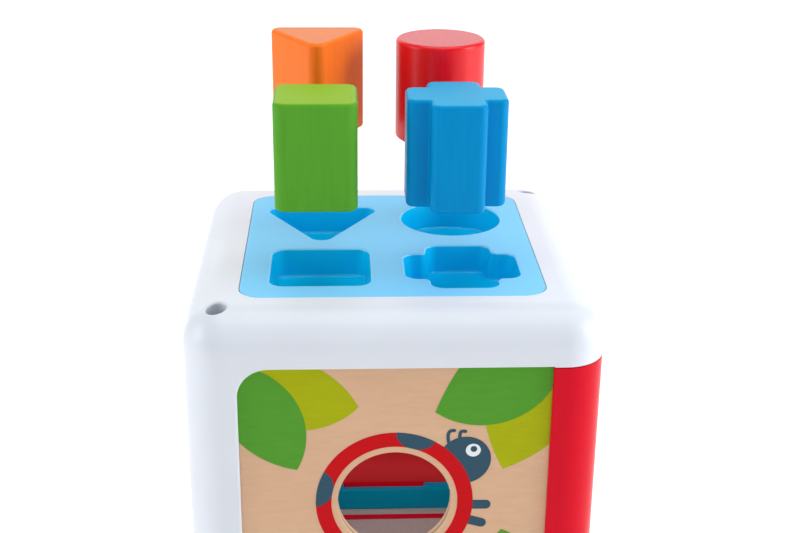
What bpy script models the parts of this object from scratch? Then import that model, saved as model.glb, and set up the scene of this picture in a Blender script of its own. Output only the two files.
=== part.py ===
"""Shape sorter box: a rounded cube of two plastic shells, wooden panels, a pocket tray and four wooden blocks.

Metres, +Z up. The origin is the centre of the underside, the front faces -Y, and +X is to the right.
The white shell is the top and the left side, and the red shell is the base and the right side.
The two shells are alike, turned half a turn about the Y axis, and meet along two level seams.
"""

from math import cos, pi, radians, sin, sqrt, tan

import bmesh
import bpy
from mathutils import Matrix, Vector

# Body
BODY = 0.150
HALF = BODY / 2
CORNER_R = 0.015
EDGE_R = 0.014
SKIN = 0.003
BORDER = 0.0194
GAP = 0.0003
WINDOW = HALF - BORDER
WINDOW_R = 0.011
SEAM_TOP = BODY - BORDER

# Corner posts, which hold the panels' edges and the assembly screws
POST_INNER = 0.057
SCREW_AT = 0.0626
WELL_R = 0.00365

# Wooden panels, held in grooves behind a thin lip
PANEL_T = 0.005
PANEL_LIP = 0.0016
PANEL_EDGE = 0.0043
HOLE_R = 0.0204
HOLE_Z = 0.076

# Pocket tray
TRAY = 0.0556
TRAY_R = 0.009
TRAY_DEPTH = 0.014
TRAY_TOP_T = 0.0025
TRAY_WALL = 0.0018
POCKET_DEPTH = 0.011
POCKET_AT = 0.02645
MOUTH_R = 0.0008
DRAFT = 0.0016
FLOOR_R = 0.0012
TRAY_SCREW_AT = 0.050
LEDGE_LOW = 0.1325
LEDGE_T = 0.0032
LEDGE_IN = 0.0506

# Rear door and its latch
HINGE = Vector((0.0514, 0.070))
BARREL_R = 0.0035
PIN_R = 0.0015
PIN_CLEARANCE = 0.0001
DOOR_Y = (0.067, 0.071)
DOOR_CLEARANCE = 0.0005
LATCH = Vector((-0.038, 0.114))
SHAFT_R = 0.004
TONGUE_R = 0.004
TONGUE_REACH = 0.020

# Floor inside the box
FLOOR_Z = (0.0033, 0.0053)
RIB_Y = (0.0272, 0.0307)
RAIL_Y = (0.0350, 0.0380)
RAIL_TOP = 0.0155
STEP_X = 0.0184

# Blocks
BLOCK_H = 0.040
BLOCK_EDGE_R = 0.0015

ARC_STEPS = 6
FINE_STEPS = 4
ROUND_STEPS = 32


# Outlines: each corner is (x, y, radius), anticlockwise

def rectangle(x0, y0, x1, y1, radius=0.0):
    return [(x0, y0, radius), (x1, y0, radius), (x1, y1, radius), (x0, y1, radius)]


def square(half, radius):
    return rectangle(-half, -half, half, half, radius)


def triangle(inradius, radius):
    """Equal sides, centred on its centroid, one corner pointing to the front."""
    half_side = inradius * sqrt(3)
    return [(0, -2 * inradius, radius), (half_side, inradius, radius), (-half_side, inradius, radius)]


def plus(span, arm, radius, inner_radius):
    """A cross with four equal arms: span and arm are half of its width and half of an arm's."""
    corners = []
    for quarter in range(4):
        turn = Matrix.Rotation(quarter * pi / 2, 2)
        for x, y, r in ((span, -arm, radius), (span, arm, radius), (arm, arm, inner_radius)):
            p = turn @ Vector((x, y))
            corners.append((p.x, p.y, r))
    return corners


def circle(radius, steps=ROUND_STEPS):
    return [(radius * cos(2 * pi * i / steps), radius * sin(2 * pi * i / steps), 0) for i in range(steps)]


def grown(corners, by):
    """The same outline with every edge moved outwards by that much, and its corners' radii to suit."""
    result = []
    for i, (x, y, r) in enumerate(corners):
        before, here, after = Vector(corners[i - 1][:2]), Vector((x, y)), Vector(corners[(i + 1) % len(corners)][:2])
        arriving, leaving = (here - before).normalized(), (after - here).normalized()
        n1, n2 = Vector((arriving.y, -arriving.x)), Vector((leaving.y, -leaving.x))
        moved = here + by * (n1 + n2) / (1 + n1.dot(n2))
        outward = arriving.cross(leaving) > 0
        result.append((moved.x, moved.y, max(r + (by if outward else -by), 0.0002) if r else 0))
    return result


def with_arcs(corners, steps=ARC_STEPS):
    """The outline's points, each rounded corner as an arc."""
    points = []
    for i, (x, y, r) in enumerate(corners):
        here = Vector((x, y))
        if not r:
            points.append(here)
            continue
        to_last = (Vector(corners[i - 1][:2]) - here).normalized()
        to_next = (Vector(corners[(i + 1) % len(corners)][:2]) - here).normalized()
        half_angle = to_last.angle(to_next) / 2
        centre = here + (to_last + to_next).normalized() * r / sin(half_angle)
        start = here + to_last * r / tan(half_angle) - centre
        end = here + to_next * r / tan(half_angle) - centre
        sweep = -start.angle_signed(end)
        points += [centre + Matrix.Rotation(sweep * k / steps, 2) @ start for k in range(steps + 1)]
    return points


# Solids

def solid(name, mesh_builder):
    bm = bmesh.new()
    mesh_builder(bm)
    bmesh.ops.recalc_face_normals(bm, faces=bm.faces)
    mesh = bpy.data.meshes.new(name)
    bm.to_mesh(mesh)
    bm.free()
    obj = bpy.data.objects.new(name, mesh)
    bpy.context.scene.collection.objects.link(obj)
    return obj


def loft(name, rings):
    """A closed solid through rings of 3D points, capped at both ends."""
    def build(bm):
        loops = [[bm.verts.new(p) for p in ring] for ring in rings]
        for low, high in zip(loops, loops[1:]):
            for i in range(len(low)):
                j = (i + 1) % len(low)
                bm.faces.new((low[i], low[j], high[j], high[i]))
        bm.faces.new(loops[0])
        bm.faces.new(loops[-1])
    return solid(name, build)


def placed(points, level, axis, centre=(0, 0)):
    """Flat points set across an axis: (x, y) for Z, (x, z) for Y and (y, z) for X."""
    u, v = centre
    if axis == "Z":
        return [(p[0] + u, p[1] + v, level) for p in points]
    if axis == "Y":
        return [(p[0] + u, level, p[1] + v) for p in points]
    return [(level, p[0] + u, p[1] + v) for p in points]


def prism(name, corners, low, high, axis="Z", centre=(0, 0), steps=ARC_STEPS):
    points = with_arcs(corners, steps)
    return loft(name, [placed(points, level, axis, centre) for level in (low, high)])


def stack(name, corners, levels, centre=(0, 0), steps=FINE_STEPS):
    """A solid whose outline grows and shrinks with height: levels are (z, growth)."""
    return loft(name, [placed(with_arcs(grown(corners, by), steps), z, "Z", centre) for z, by in levels])


def box(name, low, high):
    return prism(name, rectangle(low[0], low[1], high[0], high[1]), low[2], high[2])


def combine(target, tools, operation):
    """Cuts, joins or intersects target with each tool, and removes the tools."""
    for tool in tools:
        modifier = target.modifiers.new("boolean", "BOOLEAN")
        modifier.operation = operation
        modifier.object = tool
        evaluated = target.evaluated_get(bpy.context.evaluated_depsgraph_get())
        mesh = bpy.data.meshes.new_from_object(evaluated)
        target.modifiers.clear()
        target.data = mesh
        bpy.data.objects.remove(tool)
    return target


def cut(target, *tools):
    return combine(target, tools, "DIFFERENCE")


def join(target, *tools):
    return combine(target, tools, "UNION")


def finish(obj, material, origin=(0, 0, 0)):
    """Gives a sub-part its material, its smooth rounds, and its origin, on its joint's axis if it moves."""
    obj.data.materials.clear()
    obj.data.materials.append(material)
    obj.data.transform(Matrix.Translation(-Vector(origin)))
    obj.location = origin
    obj.data.name = obj.name
    obj.data.shade_smooth()
    obj.data.set_sharp_from_angle(angle=radians(35))
    return obj


def material(name, color, roughness, metallic=0.0):
    made = bpy.data.materials.new(name)
    made.use_nodes = True
    shader = made.node_tree.nodes["Principled BSDF"]
    shader.inputs["Base Color"].default_value = (*color, 1)
    shader.inputs["Roughness"].default_value = roughness
    shader.inputs["Metallic"].default_value = metallic
    return made


# Shells

def rounded_cube(name, inset):
    """The body's outer form, or the same form with every face moved in by inset."""
    half, corner, edge = HALF - inset, CORNER_R - inset, EDGE_R - inset
    quarter = [pi / 2 * k / ARC_STEPS for k in range(ARC_STEPS + 1)]
    rising = [(inset + edge * (1 - cos(a)), -edge * (1 - sin(a))) for a in quarter]
    falling = [(BODY - z, by) for z, by in reversed(rising)]
    return stack(name, square(half, corner), rising + falling, steps=ARC_STEPS)


def around(low, high, rim, name="rib"):
    """A square wall between two half-widths, from the height rim[0] to rim[1]."""
    wall = prism(name, square(high, TRAY_R), *rim)
    return cut(wall, prism("inside", square(low, TRAY_R), rim[0] - SKIN, rim[1] + SKIN))


def cavity():
    """The hollow inside the two shells, with the posts, ledge, bosses and rib left standing."""
    hollow = rounded_cube("cavity", SKIN)
    beyond = HALF + SKIN
    posts = [box("post", (min(sx * POST_INNER, sx * beyond), min(sy * POST_INNER, sy * beyond), -SKIN),
                 (max(sx * POST_INNER, sx * beyond), max(sy * POST_INNER, sy * beyond), BODY + SKIN))
             for sx in (-1, 1) for sy in (-1, 1)]
    opening = TRAY + GAP
    tray_well = around(opening - SKIN, opening + SKIN, (LEDGE_LOW, BODY + SKIN))
    boss_x, boss_y = (HINGE.x - BARREL_R, POST_INNER + SKIN), (HINGE.y - BARREL_R, HALF - PANEL_LIP)
    hinge_boss_top = box("boss", (boss_x[0], boss_y[0], SEAM_TOP + GAP), (boss_x[1], boss_y[1], 0.144))
    hinge_boss_base = box("boss", (boss_x[0], boss_y[0], 0), (boss_x[1], boss_y[1], BORDER - GAP))
    keeper = box("keeper", (LATCH.x - 0.010, DOOR_Y[0], SEAM_TOP + GAP), (LATCH.x + 0.010, HALF, 0.142))
    door_stop = box("stop", (-POST_INNER - GAP, 0.062, 0.060), (-POST_INNER + 0.004, DOOR_Y[0] - GAP, 0.090))
    rib = box("rib", (-beyond, RIB_Y[0], 0), (beyond, RIB_Y[1], FLOOR_Z[1]))
    ledge_plate = prism("ledge", square(opening + GAP, TRAY_R), LEDGE_LOW, LEDGE_LOW + LEDGE_T)
    return cut(hollow, *posts, tray_well, ledge_plate, hinge_boss_top, hinge_boss_base, keeper, door_stop, rib)


def window_outline(rounded):
    """A side window, seen along its axis; rounded lists the corners that are, from the lower left, anticlockwise."""
    corners = rectangle(-WINDOW, BORDER, WINDOW, SEAM_TOP)
    return [(x, y, WINDOW_R if i in rounded else 0) for i, (x, y, _) in enumerate(corners)]


def window(axis, side, rounded):
    levels = sorted((side * (HALF + SKIN), side * (HALF - SKIN - GAP)))
    return prism("window", window_outline(rounded), *levels, axis=axis)


def panel_slot(axis, side):
    half = WINDOW + PANEL_EDGE + GAP
    levels = sorted((side * (HALF - PANEL_LIP), side * (HALF - PANEL_LIP - PANEL_T - 2 * GAP)))
    return prism("slot", rectangle(-half, BORDER - PANEL_EDGE - GAP, half, SEAM_TOP + PANEL_EDGE + GAP), *levels,
                 axis=axis)


def drilled(radius, low, high, centre, steps=20):
    return prism("drill", circle(radius, steps), *sorted((low, high)), centre=centre)


def screw_runs():
    """Each assembly screw: name, position, the way it points, and its head's, seam's and tip's heights."""
    at = SCREW_AT
    deep, shallow, seam = 0.030, 0.139, SEAM_TOP
    runs = [("shell_screw_top_front", (-at, -at), -1, deep, BORDER, 0.0095),
            ("shell_screw_top_rear", (at, at), -1, shallow, seam, 0.1155)]
    for name, (x, y), way, head, joint, tip in list(runs):
        runs.append((name.replace("top", "base"), (-x, y), -way, BODY - head, BODY - joint, BODY - tip))
    return runs


def screw_bores():
    """For each assembly screw: its well, a loose hole up to the seam, and a pilot hole beyond it."""
    tools = []
    for _, centre, way, head, seam, tip in screw_runs():
        tools.append(drilled(WELL_R, head - way * BODY, head, centre))
        tools.append(drilled(0.0021, head - way * SKIN, seam + way * 0.0004, centre, 16))
        tools.append(drilled(0.0018, seam - way * 0.0004, tip + way * 0.0015, centre, 16))
    return tools


def region(name, points):
    """An L seen from the front, through the whole depth of the body."""
    return prism(name, [(x, z, 0) for x, z in points], -BODY, BODY, axis="Y")


def build_shells(white, red):
    frame = cut(rounded_cube("frame", 0), cavity())
    chamfer = 0.010
    ledge_hole = [(s * x, t * y, 0) for s, t, x, y in (
        (-1, -1, LEDGE_IN, LEDGE_IN - chamfer), (-1, -1, LEDGE_IN - chamfer, LEDGE_IN),
        (1, -1, LEDGE_IN - chamfer, LEDGE_IN), (1, -1, LEDGE_IN, LEDGE_IN - chamfer),
        (1, 1, LEDGE_IN, LEDGE_IN - chamfer), (1, 1, LEDGE_IN - chamfer, LEDGE_IN),
        (-1, 1, LEDGE_IN - chamfer, LEDGE_IN), (-1, 1, LEDGE_IN, LEDGE_IN - chamfer))]
    cut(frame,
        window("Y", -1, (1, 3)), window("Y", 1, ()), window("X", -1, (2, 3)), window("X", 1, (0, 1)),
        panel_slot("Y", -1), panel_slot("X", -1), panel_slot("X", 1),
        prism("tray_opening", square(TRAY + GAP, TRAY_R + GAP), LEDGE_LOW + LEDGE_T, BODY + SKIN),
        prism("ledge_opening", ledge_hole, LEDGE_LOW - SKIN, BODY),
        *[drilled(0.0018, LEDGE_LOW - SKIN, BODY, (sx * TRAY_SCREW_AT, sy * TRAY_SCREW_AT), 16)
          for sx in (-1, 1) for sy in (-1, 1)],
        *screw_bores(),
        *[drilled(PIN_R + PIN_CLEARANCE, *ends, HINGE) for ends in ((SEAM_TOP - GAP, 0.1405), (0.0095, BORDER + GAP))])
    far, inner = 2 * BODY, WINDOW - WINDOW_R - 0.001
    top_left = [(-far, BORDER + GAP), (-inner, BORDER + GAP), (-inner, SEAM_TOP), (far, SEAM_TOP), (far, far),
                (-far, far)]
    base_right = [(-x, BODY - z) for x, z in top_left]
    for name, corners, look in (("white_shell", top_left, white), ("red_shell", base_right, red)):
        shell = frame.copy()
        shell.name = name
        bpy.context.scene.collection.objects.link(shell)
        finish(combine(shell, [region("region", corners)], "INTERSECT"), look)
    bpy.data.objects.remove(frame)


# Panels and floor

def build_panels(look):
    half = WINDOW + PANEL_EDGE
    outline = rectangle(-half, BORDER - PANEL_EDGE, half, SEAM_TOP + PANEL_EDGE, 0.001)
    outer = HALF - PANEL_LIP - GAP
    for name, axis, side in (("front_panel", "Y", -1), ("left_panel", "X", -1), ("right_panel", "X", 1)):
        panel = prism(name, outline, *sorted((side * outer, side * (outer - PANEL_T))), axis=axis, steps=2)
        if name == "front_panel":
            cut(panel, prism("hole", circle(HOLE_R, 56), -BODY, 0, axis="Y", centre=(0, HOLE_Z)))
        finish(panel, look)


def build_floor(white, blue):
    edge = POST_INNER - 0.0004
    flat = HALF - EDGE_R
    for name, y0, y1 in (("floor_plate_front", -flat, RIB_Y[0] - GAP), ("floor_plate_rear", RIB_Y[1] + GAP, 0.052)):
        finish(box(name, (-edge, y0, FLOOR_Z[0]), (edge, y1, FLOOR_Z[1])), white)
    bottom = FLOOR_Z[1] + GAP
    low, high = (RAIL_Y[0] + 0.001, bottom + 0.001), (RAIL_Y[1] + 0.0015, RAIL_TOP + 0.0012)
    rail = join(box("threshold_rail", (-edge, RAIL_Y[0], bottom), (edge, RAIL_Y[1], RAIL_TOP)),
                box("step_left", (-edge + 0.001, *low), (-STEP_X, *high)),
                box("step_right", (STEP_X, *low), (edge - 0.001, *high)),
                box("foot", (-edge + 0.002, RAIL_Y[0] + 0.001, bottom), (edge - 0.002, 0.050, bottom + 0.002)))
    finish(rail, blue)


# Tray and blocks

POCKETS = {
    "square": (square(0.0186, 0.0056), (-1, -1)),
    "plus": (plus(0.0215, 0.0125, 0.0050, 0.0026), (1, -1)),
    "triangle": (triangle(0.0145, 0.0044), (-1, 1)),
    "cylinder": (circle(0.0203), (1, 1)),
}


def pocket_centre(kind):
    sx, sy = POCKETS[kind][1]
    return Vector((sx * POCKET_AT, sy * POCKET_AT))


def pocket_cutter(kind):
    """The pocket's hollow: a rounded floor, drafted walls and a rounded mouth."""
    floor = BODY - POCKET_DEPTH
    angles = [radians(30) * k for k in range(4)]
    levels = [(floor + FLOOR_R * (1 - cos(a)), -DRAFT - FLOOR_R * (1 - sin(a))) for a in angles[::3]]
    levels += [(BODY - MOUTH_R * (1 - sin(a)), MOUTH_R * (1 - cos(a))) for a in angles]
    levels.append((BODY + SKIN, MOUTH_R))
    return stack("pocket", POCKETS[kind][0], levels, pocket_centre(kind))


def build_tray(blue):
    low = BODY - TRAY_DEPTH
    tray = prism("pocket_tray", square(TRAY, TRAY_R), low, BODY)
    hollow = prism("hollow", square(TRAY - 0.0022, TRAY_R - 0.0022), low - SKIN, BODY - TRAY_TOP_T)
    bosses = [(sx * TRAY_SCREW_AT, sy * TRAY_SCREW_AT) for sx in (-1, 1) for sy in (-1, 1)]
    cup_levels = [(BODY - POCKET_DEPTH - TRAY_WALL, TRAY_WALL - DRAFT), (BODY + SKIN, TRAY_WALL)]
    cups = [stack("cup", POCKETS[kind][0], cup_levels, pocket_centre(kind)) for kind in POCKETS]
    cut(hollow, *cups, *[drilled(0.0038, low - 2 * SKIN, BODY + SKIN, at) for at in bosses])
    cut(tray, hollow, *[pocket_cutter(kind) for kind in POCKETS],
        *[drilled(0.0016, low - SKIN, BODY - 0.0045, at, 16) for at in bosses])
    finish(tray, blue)


# Each block: its outline, how high its base hovers, and how far its slide leans to the left by then
BLOCKS = {
    "square": (square(0.01495, 0.0042), 0.1765, 0.0011),
    "plus": (plus(0.01815, 0.0099, 0.0034, 0.0010), 0.1765, 0.0034),
    "triangle": (triangle(0.01214, 0.0040), 0.1870, 0.0011),
    "cylinder": (circle(0.01745), 0.1852, 0.0056),
}


def build_block(kind, look):
    outline, base, lean = BLOCKS[kind]
    angles = [radians(30) * k for k in range(4)]
    rising = [(BLOCK_EDGE_R * (1 - cos(a)), -BLOCK_EDGE_R * (1 - sin(a))) for a in angles]
    levels = rising + [(BLOCK_H - z, by) for z, by in reversed(rising)]
    block = stack("block_" + kind, outline, levels)
    finish(block, look)
    centre = pocket_centre(kind)
    block.location = (centre.x - lean, centre.y, base)


# Rear door, hinge and latch

def build_door(red):
    low, high = BORDER + DOOR_CLEARANCE, SEAM_TOP - DOOR_CLEARANCE
    door = box("rear_door", (-WINDOW + DOOR_CLEARANCE, DOOR_Y[0], low), (HINGE.x, DOOR_Y[1], high))
    join(door, prism("barrel", circle(BARREL_R, 24), low, high, centre=HINGE))
    bore = PIN_R + PIN_CLEARANCE
    cut(door,
        drilled(bore, low - SKIN, low + 0.010, HINGE), drilled(bore, high - 0.010, high + SKIN, HINGE),
        prism("latch_hole", circle(SHAFT_R + GAP, 24), 0, HALF, axis="Y", centre=LATCH))
    finish(door, red, (HINGE.x, HINGE.y, HALF))


def build_hinge_pins(steel):
    for name, ends in (("hinge_pin_top", (0.1207, 0.1400)), ("hinge_pin_base", (0.0100, 0.0293))):
        finish(prism(name, circle(PIN_R, 20), *ends, centre=HINGE), steel, (HINGE.x, HINGE.y, HALF))


def build_latch(blue, steel):
    """Knob and shaft outside, tongue inside, held by one screw. The tongue points sideways, clear of its keeper."""
    face = DOOR_Y[1] + GAP
    tongue_y = (DOOR_Y[0] - 0.0046, DOOR_Y[0] - 0.0006)
    knob = prism("latch_knob", circle(0.011, 32), face, face + 0.0016, axis="Y", centre=LATCH)
    join(knob,
         prism("grip", rectangle(-0.0095, -0.002, 0.0095, 0.002, 0.0015), face + 0.001, HALF - 0.0002, axis="Y",
               centre=LATCH),
         prism("shaft", circle(SHAFT_R, 24), tongue_y[1] + GAP, face + 0.001, axis="Y", centre=LATCH))
    cut(knob, prism("pilot", circle(0.0014, 12), 0, face + 0.0008, axis="Y", centre=LATCH))
    tongue = prism("latch_tongue", rectangle(-TONGUE_R, -TONGUE_R, TONGUE_REACH + TONGUE_R, TONGUE_R,
                                             TONGUE_R * 0.999), *tongue_y, axis="Y", centre=LATCH)
    cut(tongue, prism("hole", circle(0.0014, 12), 0, HALF, axis="Y", centre=LATCH))
    axis_point = (LATCH.x, HINGE.y, LATCH.y)
    finish(knob, blue, axis_point)
    finish(tongue, blue, axis_point)
    head_y = (tongue_y[0] - GAP - 0.0018, tongue_y[0] - GAP)
    screw = prism("latch_screw", circle(0.0027, 16), *head_y, axis="Y", centre=LATCH)
    join(screw, prism("shank", circle(0.0011, 12), head_y[0] + 0.001, face + 0.0003, axis="Y", centre=LATCH))
    finish(screw, steel, axis_point)


# Screws

def build_screw(name, centre, way, seat, tip, head_r, head_h, shank_r, steel):
    """A pan head with a driver recess whose underside is at seat, on a shank that runs on to tip."""
    top = seat - way * head_h
    screw = prism(name, circle(head_r, 16), *sorted((top, seat)), centre=centre)
    join(screw, prism("shank", circle(shank_r, 12), *sorted((seat - way * head_h / 2, tip)), centre=centre))
    slot_depth = head_h * 0.45
    recess = prism("recess", plus(head_r * 0.6, head_r * 0.14, 0, 0),
                   *sorted((top - way * GAP, top + way * slot_depth)), centre=centre)
    finish(cut(screw, recess), steel)


def build_screws(steel):
    for name, centre, way, head, _, tip in screw_runs():
        build_screw(name, centre, way, head - way * GAP, tip, 0.0032, 0.0024, 0.0015, steel)
    for side, sy in (("front", -1), ("rear", 1)):
        for hand, sx in (("left", -1), ("right", 1)):
            build_screw(f"tray_screw_{side}_{hand}", (sx * TRAY_SCREW_AT, sy * TRAY_SCREW_AT), 1,
                        LEDGE_LOW - GAP, BODY - 0.0055, 0.0030, 0.0022, 0.0013, steel)


def main():
    for obj in list(bpy.data.objects):
        bpy.data.objects.remove(obj)
    white = material("white_plastic", (0.80, 0.83, 0.88), 0.30)
    red = material("red_plastic", (0.62, 0.010, 0.035), 0.28)
    blue = material("blue_plastic", (0.10, 0.50, 0.85), 0.22)
    steel = material("steel", (0.55, 0.56, 0.58), 0.35, 1.0)
    build_shells(white, red)
    build_panels(material("plywood", (0.70, 0.46, 0.29), 0.55))
    build_floor(material("floor_board", (0.72, 0.72, 0.74), 0.5), blue)
    build_tray(blue)
    build_door(red)
    build_hinge_pins(steel)
    build_latch(blue, steel)
    build_screws(steel)
    build_block("square", material("green_paint", (0.10, 0.37, 0.03), 0.45))
    build_block("plus", material("blue_paint", (0.0, 0.26, 0.62), 0.40))
    build_block("triangle", material("orange_paint", (0.85, 0.18, 0.02), 0.40))
    build_block("cylinder", material("red_paint", (0.60, 0.008, 0.012), 0.40))


main()
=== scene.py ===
"""Looks of the shape sorter: moulded plastic, printed plywood, painted blocks and soft studio light.

Metres, +Z up. The frame's origin is the centre of the underside, and the front faces -Y.
The two shells are built as one body, cut by the same tools as the CAD shells and split along the same seams.
"""

from math import atan2, cos, pi, radians, sin, sqrt, tan

import bmesh
import bpy
from mathutils import Matrix, Vector


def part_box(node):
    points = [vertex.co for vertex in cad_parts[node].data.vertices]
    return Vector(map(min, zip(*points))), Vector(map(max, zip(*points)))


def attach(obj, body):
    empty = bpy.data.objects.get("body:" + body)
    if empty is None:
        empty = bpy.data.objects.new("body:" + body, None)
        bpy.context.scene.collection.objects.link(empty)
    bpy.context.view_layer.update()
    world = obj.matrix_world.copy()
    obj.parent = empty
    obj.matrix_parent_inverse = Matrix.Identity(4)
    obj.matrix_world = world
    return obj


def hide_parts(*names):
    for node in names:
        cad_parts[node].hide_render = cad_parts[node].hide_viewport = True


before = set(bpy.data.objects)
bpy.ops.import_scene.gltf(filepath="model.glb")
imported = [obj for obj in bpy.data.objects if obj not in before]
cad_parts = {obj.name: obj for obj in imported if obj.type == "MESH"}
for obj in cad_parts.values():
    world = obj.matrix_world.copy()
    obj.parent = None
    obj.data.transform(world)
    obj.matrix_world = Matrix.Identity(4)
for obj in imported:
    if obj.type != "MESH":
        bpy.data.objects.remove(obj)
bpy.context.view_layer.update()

# Sizes that the CAD nodes state
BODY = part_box("white_shell")[1].z
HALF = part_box("red_shell")[1].x
PANEL_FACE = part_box("front_panel")[0].y
PANEL_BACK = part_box("front_panel")[1].y
PANEL_LOW, PANEL_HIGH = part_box("front_panel")[0].z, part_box("front_panel")[1].z
PANEL_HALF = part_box("front_panel")[1].x
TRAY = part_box("pocket_tray")[1].x
TRAY_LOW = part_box("pocket_tray")[0].z

# Body: its border runs round every window, and two level seams part the shells
CORNER_R = 0.015
EDGE_R = 0.014
SKIN = 0.003
GAP = 0.0003
BORDER = 0.0194
SEAM_TOP = BODY - BORDER
WINDOW = HALF - BORDER
WINDOW_R = 0.011
POST_INNER = 0.057
FLOOR_TOP = 0.0053
RIB_Y = (0.0272, 0.0307)

# Assembly screws and their holes
SCREW_AT = 0.0626
SCREW_LOOSE_R = 0.0021
SCREW_PILOT_R = 0.0018
WELL_R = 0.00365

# Panels, and the front one's hole
PANEL_LIP = 0.0016
PANEL_T = 0.005
PANEL_EDGE = 0.0043
HOLE_R = 0.0204
HOLE = Vector((0, 0.076))

# Tray, the ledge under it, and the screws that hold it, by the ends of their names
TRAY_R = 0.009
TRAY_TOP_T = 0.0025
TRAY_WALL = 0.0018
LEDGE_LOW = 0.1325
LEDGE_T = 0.0032
LEDGE_IN = 0.0506
TRAY_SCREW_AT = 0.050
TRAY_SCREW_LOOSE_R = 0.0018
TRAY_SCREW_PILOT_R = 0.0016
TRAY_BOSS_R = 0.0038
TRAY_SCREWS = {f"{side}_{hand}": (sx * TRAY_SCREW_AT, sy * TRAY_SCREW_AT)
               for side, sy in (("front", -1), ("rear", 1)) for hand, sx in (("left", -1), ("right", 1))}

# Edge rounds of the moulded pieces
WINDOW_EDGE = 0.0009
OPENING_EDGE = 0.0004
SEAM_EDGE = 0.00045
WELL_EDGE = 0.0011

# Pockets and blocks
POCKET_DEPTH = 0.011
POCKET_AT = 0.02645
MOUTH_R = 0.0008
DRAFT = 0.0016
FLOOR_R = 0.0012
BLOCK_EDGE_R = 0.0015

# Door and latch
HINGE = Vector((0.0514, 0.070))
BARREL_R = 0.0035
PIN_R = 0.0015
PIN_CLEARANCE = 0.0001
PIN_BORE_ENDS = (0.0095, 0.1405)
BOSS_TOP = 0.144
KEEPER_TOP = 0.142
KEEPER_HALF = 0.010
DOOR_Y = (0.067, 0.071)
DOOR_CLEARANCE = 0.0005
LATCH = Vector((-0.038, 0.114))
SHAFT_R = 0.004
TONGUE_R = 0.004
TONGUE_REACH = 0.020
KNOB_R = 0.011
PLATE_R = 0.0145
LATCH_PILOT_R = 0.0014

# Printed picture: a layer of ink stands INK proud of the one below, and CUTTING is above every layer
RING_IN = 0.02295
RING_OUT = 0.0286
INK = 0.00005
INK_INSIDE = 0.0002
CUTTING = 1000
MM = 0.001

# Steps in a rounded corner that shows, in one that doesn't, and in a circle, and the angle of a sharp edge
ARC_STEPS = 14
FINE_STEPS = 8
ROUND_STEPS = 96
SHARP_ANGLE = 32


# Outlines: each corner is (x, y, radius), anticlockwise

def rectangle(x0, y0, x1, y1, radius=0.0):
    return [(x0, y0, radius), (x1, y0, radius), (x1, y1, radius), (x0, y1, radius)]


def square(half, radius):
    return rectangle(-half, -half, half, half, radius)


def triangle(inradius, radius):
    """Equal sides, centred on its centroid, one corner pointing to the front."""
    half_side = inradius * sqrt(3)
    return [(0, -2 * inradius, radius), (half_side, inradius, radius), (-half_side, inradius, radius)]


def plus(span, arm, radius, inner_radius):
    """A cross with four equal arms: span and arm are half of its width and half of an arm's."""
    corners = []
    for quarter in range(4):
        turn = Matrix.Rotation(quarter * pi / 2, 2)
        for x, y, r in ((span, -arm, radius), (span, arm, radius), (arm, arm, inner_radius)):
            p = turn @ Vector((x, y))
            corners.append((p.x, p.y, r))
    return corners


def circle(radius, steps=ROUND_STEPS):
    return [(radius * cos(2 * pi * i / steps), radius * sin(2 * pi * i / steps), 0) for i in range(steps)]


def grown(corners, by):
    """The same outline with every edge moved outwards by that much, and its corners' radii to suit."""
    result = []
    for i, (x, y, r) in enumerate(corners):
        before, after = Vector(corners[i - 1][:2]), Vector(corners[(i + 1) % len(corners)][:2])
        here = Vector((x, y))
        arriving, leaving = (here - before).normalized(), (after - here).normalized()
        n1, n2 = Vector((arriving.y, -arriving.x)), Vector((leaving.y, -leaving.x))
        moved = here + by * (n1 + n2) / (1 + n1.dot(n2))
        outward = arriving.cross(leaving) > 0
        result.append((moved.x, moved.y, max(r + (by if outward else -by), 0.0002) if r else 0))
    return result


def with_arcs(corners, steps=ARC_STEPS):
    """The outline's points, each rounded corner as an arc."""
    points = []
    for i, (x, y, r) in enumerate(corners):
        here = Vector((x, y))
        if not r:
            points.append(here)
            continue
        to_last = (Vector(corners[i - 1][:2]) - here).normalized()
        to_next = (Vector(corners[(i + 1) % len(corners)][:2]) - here).normalized()
        half_angle = to_last.angle(to_next) / 2
        centre = here + (to_last + to_next).normalized() * r / sin(half_angle)
        start = here + to_last * r / tan(half_angle) - centre
        end = here + to_next * r / tan(half_angle) - centre
        sweep = -start.angle_signed(end)
        points += [centre + Matrix.Rotation(sweep * k / steps, 2) @ start for k in range(steps + 1)]
    return points


# Solids

def mesh_object(name, mesh_builder):
    bm = bmesh.new()
    mesh_builder(bm)
    bmesh.ops.recalc_face_normals(bm, faces=bm.faces)
    mesh = bpy.data.meshes.new(name)
    bm.to_mesh(mesh)
    bm.free()
    obj = bpy.data.objects.new(name, mesh)
    bpy.context.scene.collection.objects.link(obj)
    return obj


def loft(name, rings):
    """A closed solid through rings of 3D points, capped at both ends."""
    def build(bm):
        loops = [[bm.verts.new(p) for p in ring] for ring in rings]
        for low, high in zip(loops, loops[1:]):
            for i in range(len(low)):
                j = (i + 1) % len(low)
                bm.faces.new((low[i], low[j], high[j], high[i]))
        bm.faces.new(loops[0])
        bm.faces.new(loops[-1])
    return mesh_object(name, build)


def placed(points, level, axis, centre=(0, 0)):
    """Flat points set across an axis: (x, y) for Z, (x, z) for Y and (y, z) for X."""
    u, v = centre
    if axis == "Z":
        return [(p[0] + u, p[1] + v, level) for p in points]
    if axis == "Y":
        return [(p[0] + u, level, p[1] + v) for p in points]
    return [(level, p[0] + u, p[1] + v) for p in points]


def stack(name, corners, levels, axis="Z", centre=(0, 0), steps=FINE_STEPS):
    """A solid whose outline grows and shrinks along the axis: levels are (position, growth)."""
    return loft(name, [placed(with_arcs(grown(corners, by), steps), level, axis, centre)
                       for level, by in levels])


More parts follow.
